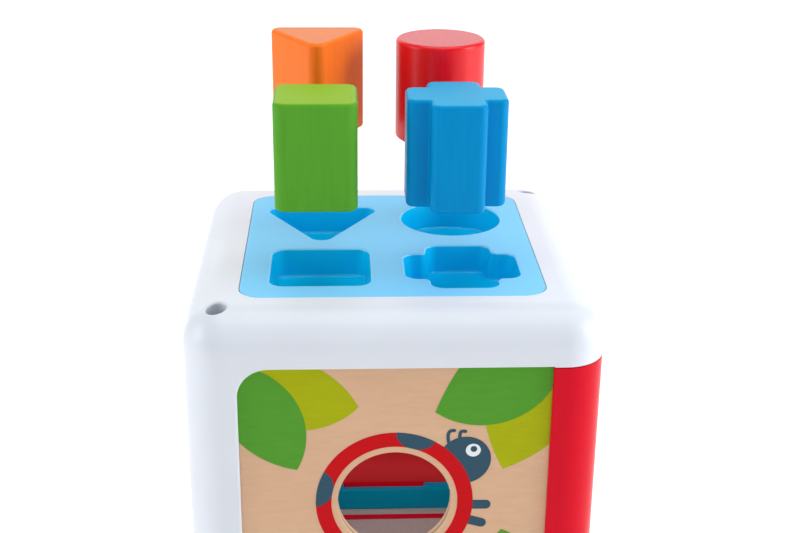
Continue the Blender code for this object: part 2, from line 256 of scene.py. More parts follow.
def prism(name, corners, low, high, axis="Z", centre=(0, 0), steps=FINE_STEPS):
    return stack(name, corners, [(low, 0), (high, 0)], axis, centre, steps)


def box(name, low, high):
    return prism(name, rectangle(low[0], low[1], high[0], high[1]), low[2], high[2])


def quarter_turn(steps):
    """Angles from 0 to a right angle."""
    return [pi / 2 * k / steps for k in range(steps + 1)]


def rounded_levels(low, high, radius, steps=5):
    """Levels of a solid whose two end edges are rounded."""
    rising = [(radius * (1 - cos(a)), -radius * (1 - sin(a))) for a in quarter_turn(steps)]
    return [(low + z, by) for z, by in rising] + [(high - z, by) for z, by in reversed(rising)]


def rim(surface, radius):
    """Levels that round an edge off where the solid comes up to a surface."""
    return [(surface - radius * (1 - sin(a)), -radius * (1 - cos(a))) for a in quarter_turn(4)]


def pebble(name, corners, low, high, radius, axis="Z", centre=(0, 0), steps=FINE_STEPS, edge_steps=5):
    """A prism with rounded ends."""
    return stack(name, corners, rounded_levels(low, high, radius, edge_steps), axis, centre, steps)


def turned(name, profile, centre, axis):
    """A closed solid of revolution: profile is (level, radius) from one end to the other."""
    return loft(name, [placed(circle(radius, 48), level, axis, centre) for level, radius in profile])


def combine(target, tools, operation):
    """Cuts, joins or intersects target with each tool, and removes the tools."""
    for tool in tools:
        modifier = target.modifiers.new("boolean", "BOOLEAN")
        modifier.operation = operation
        modifier.object = tool
        evaluated = target.evaluated_get(bpy.context.evaluated_depsgraph_get())
        mesh = bpy.data.meshes.new_from_object(evaluated)
        target.modifiers.clear()
        target.data = mesh
        bpy.data.objects.remove(tool)
    return target


def cut(target, *tools):
    return combine(target, tools, "DIFFERENCE")


def join(target, *tools):
    return combine(target, tools, "UNION")


def finish(obj, look, body, *nodes, slot):
    """Smooth shading, a material, the body that the piece rides on, and the CAD nodes that it replaces."""
    obj.data.materials.clear()
    obj.data.materials.append(look)
    obj.data.name = obj.name
    obj.data.shade_smooth()
    obj.data.set_sharp_from_angle(angle=radians(SHARP_ANGLE))
    weighted = obj.modifiers.new("weighted_normal", "WEIGHTED_NORMAL")
    weighted.keep_sharp = True
    weighted.weight = 100
    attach(obj, body)
    if nodes:
        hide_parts(*nodes)


# Materials

class Look:
    """A node material under construction, in object coordinates, which are the frame's."""

    def __init__(self, name, roughness, metallic=0.0, specular=0.5):
        self.material = bpy.data.materials.new(name)
        self.material.use_nodes = True
        self.nodes = self.material.node_tree.nodes
        self.links = self.material.node_tree.links
        self.shader = self.nodes["Principled BSDF"]
        self.shader.inputs["Roughness"].default_value = roughness
        self.shader.inputs["Metallic"].default_value = metallic
        self.shader.inputs["Specular IOR Level"].default_value = specular
        coordinates = self.node("TexCoord")
        self.place, self.normal = coordinates.outputs["Object"], coordinates.outputs["Normal"]

    def node(self, kind, **settings):
        made = self.nodes.new("ShaderNode" + kind)
        for key, value in settings.items():
            setattr(made, key, value)
        return made

    def link(self, source, target):
        self.links.new(source, target)

    def noise(self, scale, stretch=(1, 1, 1), detail=3.0, roughness=0.55):
        """Noise from 0 to 1 whose features are stretched along an axis by a small number there."""
        mapping = self.node("Mapping")
        mapping.inputs["Scale"].default_value = stretch
        texture = self.node("TexNoise")
        texture.inputs["Scale"].default_value = scale
        texture.inputs["Detail"].default_value = detail
        texture.inputs["Roughness"].default_value = roughness
        self.link(self.place, mapping.inputs["Vector"])
        self.link(mapping.outputs["Vector"], texture.inputs["Vector"])
        return texture.outputs["Fac"]

    def along(self, vector, axis):
        """One coordinate of a vector."""
        parts = self.node("SeparateXYZ")
        self.link(vector, parts.inputs["Vector"])
        return parts.outputs[axis]

    def math(self, operation, *values):
        made = self.node("Math", operation=operation)
        for value, socket in zip(values, made.inputs):
            if isinstance(value, (int, float)):
                socket.default_value = value
            else:
                self.link(value, socket)
        return made.outputs[0]

    def ranged(self, value, low, high, start=0.3, end=0.7):
        """The value's span from start to end brought to the span from low to high."""
        mapped = self.node("MapRange")
        for key, number in (("From Min", start), ("From Max", end), ("To Min", low), ("To Max", high)):
            mapped.inputs[key].default_value = number
        self.link(value, mapped.inputs["Value"])
        return mapped.outputs["Result"]

    def ramp(self, value, stops):
        made = self.node("ValToRGB")
        elements = made.color_ramp.elements
        while len(elements) < len(stops):
            elements.new(0.5)
        for element, (position, color) in zip(elements, stops):
            element.position = position
            element.color = (*color, 1)
        self.link(value, made.inputs["Fac"])
        return made.outputs["Color"]

    def drift(self, color, by):
        """The colour a little darker here and lighter there."""
        return self.ramp(self.noise(30, detail=2), [(0.0, shade(color, 1 - by)), (1.0, shade(color, 1 + by))])

    def mix(self, factor, a, b):
        """From a to b by a factor from 0 to 1; each is a number, a colour or a node's output."""
        made = self.node("Mix", data_type="RGBA")
        for value, socket in ((factor, made.inputs[0]), (a, made.inputs[6]), (b, made.inputs[7])):
            if isinstance(value, (int, float)):
                socket.default_value = value
            elif isinstance(value, tuple):
                socket.default_value = (*value, 1)
            else:
                self.link(value, socket)
        return made.outputs[2]

    def color(self, value):
        self.link(value, self.shader.inputs["Base Color"])

    def rough(self, value):
        self.link(value, self.shader.inputs["Roughness"])

    def bump(self, height, distance, strength):
        made = self.node("Bump")
        made.inputs["Strength"].default_value = strength
        made.inputs["Distance"].default_value = distance
        self.link(height, made.inputs["Height"])
        self.link(made.outputs["Normal"], self.shader.inputs["Normal"])


def shade(color, factor):
    return tuple(min(c * factor, 1) for c in color)


def plastic(name, color, roughness, specular):
    """Moulded plastic: slow drift in tone and gloss, and a very fine orange peel."""
    look = Look(name, roughness, specular=specular)
    look.color(look.drift(color, 0.04))
    look.rough(look.ranged(look.noise(90, detail=2), roughness * 0.85, roughness * 1.15, 0, 1))
    look.bump(look.noise(700, detail=2), 0.00003, 0.35)
    return look.material


def tray_plastic(name, deep, face, mouth):
    """Glossy plastic, textured and rougher on its top face, whose paler colour is painted reflection of the
    bright surroundings; the pale line along the pockets' mouths is a painted highlight.
    """
    look = Look(name, 0.3, specular=0.32)
    height, upright = look.along(look.place, "Z"), look.along(look.normal, "Z")
    # Painted reflection: the top face takes the paler face colour.
    top_painted_reflection_and_texture = look.math("MULTIPLY", look.ranged(height, 0, 1, BODY - 0.0006, BODY - 0.0001),
                       look.ranged(upright, 0, 1, 0.5, 0.98))
    # Painted highlight: a pale line on the rounding of the pockets' mouths.
    mouth_painted_highlight = look.math("MULTIPLY", look.ranged(height, 0, 0.75, BODY - 0.0011, BODY - 0.0006),
                         look.ranged(upright, 0, 1, 0.15, 0.6))
    walls = look.mix(mouth_painted_highlight, look.drift(deep, 0.03), mouth)
    look.color(look.mix(top_painted_reflection_and_texture, walls, look.drift(face, 0.03)))
    look.rough(look.ranged(top_painted_reflection_and_texture, 0.18, 0.42, 0, 1))
    look.bump(look.noise(1400, detail=2), 0.00003, 0.3)
    return look.material


def hollow_plastic(name, outer, inner):
    """Moulded plastic, glossy outside, matt on faces that look towards the middle of the box, and painted
    paler there: painted light for the dim inside of the box.
    """
    look = Look(name, 0.3, specular=0.08)
    level_place = look.node("VectorMath", operation="MULTIPLY")
    level_place.inputs[1].default_value = (1, 1, 0)
    look.link(look.place, level_place.inputs[0])
    facing_out = look.node("VectorMath", operation="DOT_PRODUCT")
    look.link(level_place.outputs["Vector"], facing_out.inputs[0])
    look.link(look.normal, facing_out.inputs[1])
    facing_in = look.ranged(facing_out.outputs["Value"], 1, 0, -0.012, -0.006)
    reach = look.math("MAXIMUM", *[look.math("ABSOLUTE", look.along(look.place, axis)) for axis in "XY"])
    inner_painted_light_and_matt = look.math("MULTIPLY", facing_in, look.ranged(reach, 1, 0, 0.0728, 0.0733))
    # Painted light: the inner faces take the paler inner colour.
    look.color(look.mix(inner_painted_light_and_matt, look.drift(outer, 0.04), look.drift(inner, 0.04)))
    look.rough(look.ranged(inner_painted_light_and_matt, 0.30, 0.60, 0, 1))
    look.bump(look.noise(700, detail=2), 0.00003, 0.35)
    return look.material


def painted_wood(name, side, end, roughness, specular):
    """Stained hardwood with upright grain whose fibres show; the ends carry painted light, a lighter or
    darker copy of the paint for how light falls on the top.
    """
    look = Look(name, roughness, specular=specular)
    fibres = look.noise(700, (1, 1, 0.06), detail=4, roughness=0.6)
    bands = look.noise(120, (1, 1, 0.05), detail=2)
    grain = look.mix(0.35, fibres, bands)
    sides = look.ramp(grain, [(0.25, shade(side, 0.90)), (0.50, side), (0.75, shade(side, 1.09))])
    ends = look.ramp(look.noise(900), [(0.25, shade(end, 0.94)), (0.75, shade(end, 1.05))])
    end_face_painted_light = look.ranged(look.math("ABSOLUTE", look.along(look.normal, "Z")), 0, 1, 0.75, 0.97)
    # Painted light: the end faces take the lighter or darker end colour.
    look.color(look.mix(end_face_painted_light, sides, ends))
    look.rough(look.ranged(fibres, roughness * 0.88, roughness * 1.15, 0.2, 0.8))
    look.bump(grain, 0.00004, 0.4)
    return look.material


# Veneer: how the level grain is stretched, its colours, its pores and the colours of the plies' edges
GRAIN = (0.2, 0.2, 1)
VENEER = ((0.20, (0.545, 0.330, 0.200)), (0.50, (0.640, 0.400, 0.252)), (0.80, (0.700, 0.450, 0.290)))
FIGURE = ((0.30, (0.590, 0.365, 0.225)), (0.70, (0.690, 0.445, 0.285)))
PORE = (0.36, 0.19, 0.11)
PLIES = ((0.35, (0.610, 0.371, 0.202)), (0.55, (0.855, 0.658, 0.456)))


def veneer_fibres(look):
    return look.noise(600, GRAIN, detail=5, roughness=0.65)


def plywood_look(name, across):
    """Pale sanded veneer with a fine level grain, and the plies' layers on the edges cut across that axis."""
    look = Look(name, 0.55, specular=0.25)
    fibres = veneer_fibres(look)
    pores = look.noise(1100, (0.25, 0.25, 1), detail=2)
    face = look.mix(0.5, look.ramp(fibres, VENEER), look.ramp(look.noise(34, (0.35, 0.35, 1)), FIGURE))
    face = look.mix(look.ranged(pores, 0.12, 0.0, 0.25, 0.38), face, PORE)
    depth = look.math("MULTIPLY", look.along(look.place, across), 3 * pi / PANEL_T)
    layers = look.ramp(look.ranged(look.math("SINE", depth), 0, 1, -1, 1), PLIES)
    true_normal = look.node("NewGeometry").outputs["True Normal"]
    is_face = look.ranged(look.math("ABSOLUTE", look.along(true_normal, across)), 0, 1, 0.3, 0.6)
    look.color(look.mix(is_face, layers, face))
    look.rough(look.ranged(fibres, 0.48, 0.66))
    look.bump(look.mix(0.35, fibres, pores), 0.00005, 0.55)
    return look.material


def ink(name, color):
    """Screen-printed ink that lets the veneer's grain through faintly."""
    look = Look(name, 0.5, specular=0.09)
    fibres = veneer_fibres(look)
    tone = look.ramp(fibres, [(0.30, shade(color, 0.93)), (0.70, shade(color, 1.05))])
    look.color(look.mix(look.ranged(look.noise(60), 0.0, 0.3), tone, shade(color, 0.95)))
    look.rough(look.ranged(fibres, 0.45, 0.575))
    look.bump(fibres, 0.00003, 0.5)
    return look.material


def zinc(name):
    look = Look(name, 0.3, metallic=1.0)
    brushed = look.noise(500)
    look.color(look.ramp(brushed, [(0.3, (0.50, 0.51, 0.53)), (0.7, (0.66, 0.67, 0.68))]))
    look.rough(look.ranged(look.noise(1200, detail=2), 0.24, 0.42))
    look.bump(brushed, 0.00002, 0.4)
    return look.material


def painted_shade_board(name):
    """Painted hardboard in a greyish tone that is painted shade: a darkened copy of the white floor as it
    looks in the dim inside of the box.
    """
    look = Look(name, 0.45)
    felt = look.noise(700, detail=4)
    look.color(look.ramp(felt, [(0.3, (0.40, 0.33, 0.30)), (0.7, (0.46, 0.39, 0.36))]))
    look.rough(look.ranged(felt, 0.4, 0.55))
    look.bump(felt, 0.00004, 0.5)
    return look.material


WHITE = plastic("white_plastic_look", (0.66, 0.70, 0.77), roughness=0.36, specular=0.35)
# The inner colour is painted light: a paler red for the dim inside of the box.
RED = hollow_plastic("red_plastic_look", outer=(0.61, 0.002, 0.016), inner=(0.64, 0.030, 0.036))
BLUE = plastic("blue_plastic_look", (0.0, 0.42, 0.76), roughness=0.20, specular=0.4)
# The face colour is painted reflection, a paler blue for the bright surroundings mirrored in the top; the
# mouth colour is a painted highlight.
TRAY_BLUE = tray_plastic("tray_plastic_look", deep=(0.0, 0.55, 0.92), face=(0.14, 0.56, 0.90),
                         mouth=(0.42, 0.80, 1.0))
# Painted shade: the rail's blue plastic is given as a dark teal copy of it, as it looks in the dim inside of
# the box.
BLUE_PLASTIC_IN_PAINTED_SHADE = plastic("blue_plastic_painted_shade_look", (0.0, 0.24, 0.39), roughness=0.40, specular=0.10)
PLYWOOD = plywood_look("plywood_look", "Y")
SIDE_PLYWOOD = plywood_look("side_plywood_look", "X")
STEEL = zinc("zinc_look")
# Painted shade: the floor look is a darkened copy of white for the dim inside of the box.
BOARD_IN_PAINTED_SHADE = painted_shade_board("floor_board_painted_shade_look")


# Shells

def rounded_cube(name, inset, steps=ARC_STEPS):
    """The body's outer form, or the same form with every face moved in by inset."""
    outline = square(HALF - inset, CORNER_R - inset)
    return stack(name, outline, rounded_levels(inset, BODY - inset, EDGE_R - inset, steps), steps=steps)


def cavity():
    """The hollow inside the two shells, with the posts, ledge, bosses and rib left standing."""
    hollow = rounded_cube("cavity", SKIN, 6)
    beyond = HALF + SKIN
    posts = [box("post", (min(sx * POST_INNER, sx * beyond), min(sy * POST_INNER, sy * beyond), -SKIN),
                 (max(sx * POST_INNER, sx * beyond), max(sy * POST_INNER, sy * beyond), BODY + SKIN))
             for sx in (-1, 1) for sy in (-1, 1)]
    opening = TRAY + GAP
    tray_well = cut(prism("tray_well", square(opening + SKIN, TRAY_R), LEDGE_LOW, BODY + SKIN),
                    prism("inside", square(opening - SKIN, TRAY_R), LEDGE_LOW - SKIN, BODY + 2 * SKIN))
    boss_x, boss_y = (HINGE.x - BARREL_R, POST_INNER + SKIN), (HINGE.y - BARREL_R, HALF - PANEL_LIP)
    hinge_boss_top = box("boss", (boss_x[0], boss_y[0], SEAM_TOP + GAP), (boss_x[1], boss_y[1], BOSS_TOP))
    hinge_boss_base = box("boss", (boss_x[0], boss_y[0], 0), (boss_x[1], boss_y[1], BORDER - GAP))
    keeper = box("keeper", (LATCH.x - KEEPER_HALF, DOOR_Y[0], SEAM_TOP + GAP),
                 (LATCH.x + KEEPER_HALF, HALF, KEEPER_TOP))
    door_stop = box("stop", (-POST_INNER - GAP, 0.062, 0.060), (-POST_INNER + 0.004, DOOR_Y[0] - GAP, 0.090))
    rib = box("rib", (-beyond, RIB_Y[0], 0), (beyond, RIB_Y[1], FLOOR_TOP))
    ledge_plate = prism("ledge", square(opening + GAP, TRAY_R), LEDGE_LOW, LEDGE_LOW + LEDGE_T)
    return cut(hollow, *posts, tray_well, ledge_plate, hinge_boss_top, hinge_boss_base, keeper, door_stop,
               rib)


def flare(surface, radius, way, steps=5):
    """Levels that open a cutter out in a quarter round as it comes up to a surface, and on beyond it."""
    levels = [(surface - way * radius * (1 - sin(a)), radius * (1 - cos(a))) for a in quarter_turn(steps)]
    return levels + [(surface + way * SKIN, radius)]


def window(axis, side, rounded):
    """A side window with its outer edge rounded; rounded lists the corners that are, from the lower left."""
    corners = [(x, y, WINDOW_R if i in rounded else 0)
               for i, (x, y, _) in enumerate(rectangle(-WINDOW, BORDER, WINDOW, SEAM_TOP))]
    levels = [(side * (HALF - SKIN - GAP), 0)] + flare(side * HALF, WINDOW_EDGE, side)
    return stack("window", corners, levels, axis=axis, steps=ARC_STEPS)


def panel_slot(axis, side):
    """The groove that a panel stands in, behind a lip."""
    half, low, high = WINDOW + PANEL_EDGE + GAP, BORDER - PANEL_EDGE - GAP, SEAM_TOP + PANEL_EDGE + GAP
    levels = sorted((side * (HALF - PANEL_LIP), side * (HALF - PANEL_LIP - PANEL_T - 2 * GAP)))
    return prism("slot", rectangle(-half, low, half, high), *levels, axis=axis)


def drilled(radius, low, high, centre, steps=48):
    return prism("drill", circle(radius, steps), *sorted((low, high)), centre=centre)


def screw_runs():
    """Each assembly screw: name, position, the way it points, and its head's, seam's and tip's heights."""
    at, deep, shallow = SCREW_AT, 0.030, 0.139
    runs = [("shell_screw_top_front", (-at, -at), -1, deep, BORDER, 0.0095),
            ("shell_screw_top_rear", (at, at), -1, shallow, SEAM_TOP, 0.1155)]
    for name, (x, y), way, head, joint, tip in list(runs):
        runs.append((name.replace("top", "base"), (-x, y), -way, BODY - head, BODY - joint, BODY - tip))
    return runs


def surface_height(x, y):
    """How high the rounded top is at (x, y)."""
    flat, corner = HALF - EDGE_R, HALF - CORNER_R
    dx, dy = max(abs(x) - corner, 0), max(abs(y) - corner, 0)
    beyond = max(sqrt(dx * dx + dy * dy) - (CORNER_R - EDGE_R), abs(x) - flat, abs(y) - flat, 0)
    beyond = min(beyond, EDGE_R)
    return BODY - EDGE_R + sqrt(EDGE_R ** 2 - beyond ** 2)


def well(centre, way, head):
    """A screw's well: straight walls, and a rounded mouth that follows the body's rounded surface."""
    def ring(radius, height_at):
        return [(centre[0] + x, centre[1] + y, height_at(centre[0] + x, centre[1] + y))
                for x, y, _ in circle(radius, 64)]

    def under_surface(depth):
        return lambda x, y: surface_height(x, y) - depth if way < 0 else BODY - surface_height(x, y) + depth

    beyond = BODY + SKIN if way < 0 else -SKIN
    rings = [ring(WELL_R, lambda x, y: head)]
    for a in quarter_turn(6):
        rings.append(ring(WELL_R + WELL_EDGE * (1 - cos(a)), under_surface(WELL_EDGE * (1 - sin(a)))))
    rings.append(ring(WELL_R + WELL_EDGE, lambda x, y: beyond))
    return loft("well", rings)


def screw_bores():
    """For each assembly screw: its well, a loose hole up to the seam, and a pilot hole beyond it."""
    tools, overlap = [], 0.0004
    for _, centre, way, head, seam, tip in screw_runs():
        tools.append(well(centre, way, head))
        tools.append(drilled(SCREW_LOOSE_R, head - way * SKIN, seam + way * overlap, centre, 24))
        tools.append(drilled(SCREW_PILOT_R, seam - way * overlap, tip + way * 0.0015, centre, 24))
    return tools


def seam_groove(level, side):
    """A shallow groove with round flanks where the two shells meet on the outside of a pair of pillars."""
    low, high, margin = level - SEAM_EDGE, level + SEAM_EDGE, 0.00002
    flank = [(low + SEAM_EDGE * sin(a), -SEAM_EDGE * (1 - cos(a))) for a in quarter_turn(4)[1:]]
    mirrored = [(2 * level - z, by) for z, by in reversed(flank[:-1])]
    levels = [(low - margin, margin), *flank, *mirrored, (high + margin, margin)]
    outer = box("groove", (min(0, side * BODY), -BODY, low), (max(0, side * BODY), BODY, high))
    return cut(outer, stack("core", square(HALF, CORNER_R), levels, steps=ARC_STEPS))


def region(name, points):
    """An L seen from the front, through the whole depth of the body."""
    return prism(name, [(x, z, 0) for x, z in points], -BODY, BODY, axis="Y")


def ledge_outline(chamfer=0.010):
    """The ledge's inner edge: a square with its corners cut off."""
    corners = []
    for quarter in range(4):
        turn = Matrix.Rotation(quarter * pi / 2, 2)
        for x, y in ((LEDGE_IN, -LEDGE_IN + chamfer), (LEDGE_IN, LEDGE_IN - chamfer)):
            p = turn @ Vector((x, y))
            corners.append((p.x, p.y, 0))
    return corners


def shell_cutters():
    """Everything that is cut out of the two shells together."""
    opening = [(LEDGE_LOW + LEDGE_T, 0)] + flare(BODY, OPENING_EDGE, 1)
    return [window("Y", -1, (1, 3)), window("Y", 1, ()), window("X", -1, (2, 3)), window("X", 1, (0, 1)),
            panel_slot("Y", -1), panel_slot("X", -1), panel_slot("X", 1),
            stack("tray_opening", square(TRAY + GAP / 2, TRAY_R), opening, steps=ARC_STEPS),
            prism("ledge_opening", ledge_outline(), LEDGE_LOW - SKIN, BODY),
            *[drilled(TRAY_SCREW_LOOSE_R, LEDGE_LOW - SKIN, BODY, at, 24) for at in TRAY_SCREWS.values()],
            *screw_bores(),
            drilled(PIN_R + PIN_CLEARANCE, SEAM_TOP - GAP, PIN_BORE_ENDS[1], HINGE, 24),
            drilled(PIN_R + PIN_CLEARANCE, PIN_BORE_ENDS[0], BORDER + GAP, HINGE, 24),
            seam_groove(SEAM_TOP - GAP / 2, 1), seam_groove(BORDER + GAP / 2, -1)]


def build_shells():
    """One body, cut out, then divided along the seams into an L at the top left and its twin at the base."""
    body = cut(rounded_cube("body", 0), cavity())
    cut(body, *shell_cutters())
    far, inner = 2 * BODY, WINDOW - WINDOW_R - 0.001
    top_left = [(-far, BORDER + GAP), (-inner, BORDER + GAP), (-inner, SEAM_TOP), (far, SEAM_TOP), (far, far),
                (-far, far)]
    base_right = [(-x, BODY - z) for x, z in top_left]
    for name, corners, look in (("white_shell", top_left, WHITE), ("red_shell", base_right, RED)):
        shell = body.copy()
        shell.name = name + "_fine"
        bpy.context.scene.collection.objects.link(shell)
        combine(shell, [region("region", corners)], "INTERSECT")
        finish(shell, look, "box", name, slot=name.replace("shell", "plastic"))
    bpy.data.objects.remove(body)


# Panels and printed picture

def build_panels():
    outline = rectangle(-PANEL_HALF, PANEL_LOW, PANEL_HALF, PANEL_HIGH, 0.001)
    edge = 0.00025
    for name, axis, side, look in (("front_panel", "Y", -1, PLYWOOD), ("left_panel", "X", -1, SIDE_PLYWOOD),
                                   ("right_panel", "X", 1, SIDE_PLYWOOD)):
        levels = sorted((side * -PANEL_FACE, side * -PANEL_BACK))
        panel = pebble(name + "_fine", outline, *levels, edge, axis=axis, edge_steps=3)
        if name == "front_panel":
            front = flare(PANEL_FACE, edge, -1, 3)
            back = [(PANEL_FACE + PANEL_BACK - y, by) for y, by in reversed(front)]
            cut(panel, stack("hole", circle(HOLE_R, 128), front + back, axis="Y", centre=HOLE))
        finish(panel, look, "box", name, slot="plywood")


def inked(name, outline, layer):
    """A flat piece of ink on the front panel, round the hole's centre; a higher layer lies on a lower."""
    return prism(name, outline, PANEL_FACE - layer * INK, PANEL_FACE + INK_INSIDE, axis="Y", centre=HOLE)


def printed(name, outline, look, layer, hidden=0.002):
    """Ink that runs on behind the window's border as far as hidden, and is trimmed there."""
    half = WINDOW + hidden
    trim = prism("trim", rectangle(-half, BORDER - hidden, half, SEAM_TOP + hidden), -HALF, HALF, axis="Y")
    finish(combine(inked(name, outline, layer), [trim], "INTERSECT"), look, "box", slot="plywood")


# Outlines of the picture: they take millimetres from the hole's centre and give metres

def leaf(centre_a, radius_a, centre_b, radius_b, steps=48):
    """A pointed leaf: what two discs share."""
    a, b = Vector(centre_a) * MM, Vector(centre_b) * MM
    radius_a, radius_b = radius_a * MM, radius_b * MM
    apart = (b - a).length
    along = (apart ** 2 + radius_a ** 2 - radius_b ** 2) / (2 * apart)
    half = sqrt(radius_a ** 2 - along ** 2)
    heading = atan2(b.y - a.y, b.x - a.x)
    points = []
    for centre, radius, way, swing in ((a, radius_a, heading, atan2(half, along)),
                                       (b, radius_b, heading + pi, atan2(half, apart - along))):
        for k in range(steps):
            turn = way + swing * (2 * k / steps - 1)
            points.append((centre.x + radius * cos(turn), centre.y + radius * sin(turn), 0))
    return points


def ellipse(centre, radius_a, radius_b, angle=0, steps=64):
    turn = Matrix.Rotation(radians(angle), 2)
    points = [turn @ Vector((radius_a * x, radius_b * y)) for x, y, _ in circle(1, steps)]
    return [((centre[0] + p.x) * MM, (centre[1] + p.y) * MM, 0) for p in points]


def stroke(route, radius, cap_steps=12):
    """The outline of a round-ended line through the route's points."""
    points = [Vector(p) for p in route]
    ways = [(b - a).normalized() for a, b in zip(points, points[1:])]
    ways = [ways[0]] + [(a + b).normalized() for a, b in zip(ways, ways[1:])] + [ways[-1]]
    sides = [Vector((w.y, -w.x)) for w in ways]
    right = [p + s * radius for p, s in zip(points, sides)]
    left = [p - s * radius for p, s in zip(points, sides)]
    turns = [Matrix.Rotation(pi * k / cap_steps, 2) for k in range(1, cap_steps)]
    end_cap = [points[-1] + turn @ (sides[-1] * radius) for turn in turns]
    start_cap = [points[0] + turn @ (-sides[0] * radius) for turn in turns]
    return [(p.x * MM, p.y * MM, 0) for p in right + end_cap + list(reversed(left)) + start_cap]


def bend(start, middle, end, steps=10):
    """Points on a smooth bend (a quadratic curve)."""
    a, b, c = Vector(start), Vector(middle), Vector(end)
    return [a * (1 - t) ** 2 + b * 2 * t * (1 - t) + c * t * t for t in (k / steps for k in range(steps + 1))]


def polar(radius, angle):
    return Vector((radius * cos(radians(angle)), radius * sin(radians(angle))))


# Each leaf is what two discs share: centre, radius, centre, radius
LEAVES = {
    "leaf_left_lime": ((-46.5, 22.5), 37.3, (-33.7, 58.0), 28.1),
    "leaf_left_green": ((-60.2, 27.8), 28.6, (-29.2, 48.4), 34.9),
    "leaf_right_lime": ((93.3, 43.6), 62.1, (21.2, 61.8), 51.7),
    "leaf_right_green": ((109.5, 3.1), 101.0, (30.9, 59.6), 28.4),
    "leaf_low_lime": ((64.0, -52.0), 30.0, (36.0, -40.0), 28.0),
    "leaf_low_green": ((26.0, -44.0), 34.5, (70.0, -34.0), 37.5),
    "leaf_low_left_green": ((-24.0, -52.0), 32.0, (-62.0, -36.0), 30.0),
}
FEELERS = (((19.4, 24.0), (18.0, 29.6), (21.2, 29.2)), ((23.4, 25.4), (22.6, 29.6), (25.2, 28.8)))
FEELER_R = 0.6
HEAD = ((25.2, 17.1), 9.7, 9.3, 45, 96)
EYE = ((28.2, 21.2), 2.7, 2.6)
PUPIL = ((28.4, 21.7), 1.2, 1.2)

# Each leg: the angle where it leaves the ring, and its tip. Each spot: its angle round the ring.
LEGS = ((-3, (33.4, -1.5)), (-16, (31.9, -9.2)), (-32, (28.6, -18.6)))
LEG_R = 1.8
SPOTS = (168, 74.4, 236, 305)
SPOT_AT, SPOT_DEEP, SPOT_WIDE = 28.3, 5.5, 7.3


def disc(name, radius, layer, hole=0.0):
    """A round piece of ink round the hole's centre, or a ring if it has a hole of its own."""
    made = inked(name, circle(radius, 160), layer)
    return cut(made, prism("inside", circle(hole, 160), -HALF, 0, axis="Y", centre=HOLE)) if hole else made


def build_leaves():
    green = ink("green_ink", (0.082, 0.305, 0.026))
    lime = ink("lime_ink", (0.375, 0.410, 0.002))
    for name, discs in LEAVES.items():
        is_green = name.endswith("green")
        printed(name, leaf(*discs), green if is_green else lime, 2 if is_green else 1)


def build_ring(slate):
    """The red ring round the hole, with dark spots that keep to its width."""
    red = ink("red_ink", (0.54, 0.002, 0.006))
    finish(disc("ring", RING_OUT, 2, RING_IN), red, "box", slot="plywood")
    for i, angle in enumerate(SPOTS):
        spot = inked(f"spot_{i}", ellipse(polar(SPOT_AT, angle), SPOT_DEEP, SPOT_WIDE, angle), 3)
        combine(spot, [disc("band", RING_OUT, CUTTING, RING_IN)], "INTERSECT")
        finish(spot, slate, "box", slot="plywood")


def build_insect(slate):
    """A round head with an eye and two feelers, and three legs, all outside the ring."""
    white = ink("white_ink", (0.78, 0.80, 0.82))
    head = inked("insect", ellipse(*HEAD), 3)
    for route in FEELERS:
        join(head, inked("feeler", stroke(bend(*route), FEELER_R), 3))
    legs = []
    for i, (angle, tip) in enumerate(LEGS):
        start = polar(RING_OUT / MM - 2, angle)
        legs.append(inked(f"insect_leg_{i}", stroke(bend(start, start * 1.06, tip), LEG_R), 3))
    for piece in (head, *legs):
        finish(cut(piece, disc("keep_clear", RING_OUT, CUTTING)), slate, "box", slot="plywood")
    printed("insect_eye", ellipse(*EYE), white, 4)
    printed("insect_pupil", ellipse(*PUPIL), slate, 5)


def build_picture():
    """A plain ladybird round the hole, with leaves in the corners."""
    slate = ink("slate_ink", (0.033, 0.082, 0.125))
    build_leaves()
    build_ring(slate)
    build_insect(slate)


# Tray and blocks

POCKETS = {
    "square": (square(0.0186, 0.0056), (-1, -1)),
    "plus": (plus(0.0215, 0.0125, 0.0050, 0.0026), (1, -1)),
    "triangle": (triangle(0.0145, 0.0044), (-1, 1)),
    "cylinder": (circle(0.0203), (1, 1)),
}


def pocket_centre(kind):
    sx, sy = POCKETS[kind][1]
    return Vector((sx * POCKET_AT, sy * POCKET_AT))


def pocket_cutter(kind, steps=8):
    """The pocket's hollow: a rounded floor, walls that lean out and a rounded mouth."""
    floor = BODY - POCKET_DEPTH
    levels = [(floor + FLOOR_R * (1 - cos(a)), -DRAFT - FLOOR_R * (1 - sin(a))) for a in quarter_turn(steps)]
    levels += flare(BODY, MOUTH_R, 1, steps)
    return stack("pocket", POCKETS[kind][0], levels, centre=pocket_centre(kind), steps=ARC_STEPS)


def build_tray():
    levels = [(TRAY_LOW, 0)] + rim(BODY, 0.0004)
    tray = stack("pocket_tray_fine", square(TRAY, TRAY_R), levels, steps=ARC_STEPS)
    skirt = 0.0022
    hollow = prism("hollow", square(TRAY - skirt, TRAY_R - skirt), TRAY_LOW - SKIN, BODY - TRAY_TOP_T)
    cup_levels = [(BODY - POCKET_DEPTH - TRAY_WALL, TRAY_WALL - DRAFT), (BODY + SKIN, TRAY_WALL)]
    cups = [stack("cup", POCKETS[kind][0], cup_levels, centre=pocket_centre(kind)) for kind in POCKETS]
    cut(hollow, *cups,
        *[drilled(TRAY_BOSS_R, TRAY_LOW - 2 * SKIN, BODY + SKIN, at) for at in TRAY_SCREWS.values()])
    cut(tray, hollow, *[pocket_cutter(kind) for kind in POCKETS],
        *[drilled(TRAY_SCREW_PILOT_R, TRAY_LOW - SKIN, BODY - 0.0045, at, 24) for at in TRAY_SCREWS.values()])
    finish(tray, TRAY_BLUE, "box", "pocket_tray", slot="blue_plastic")


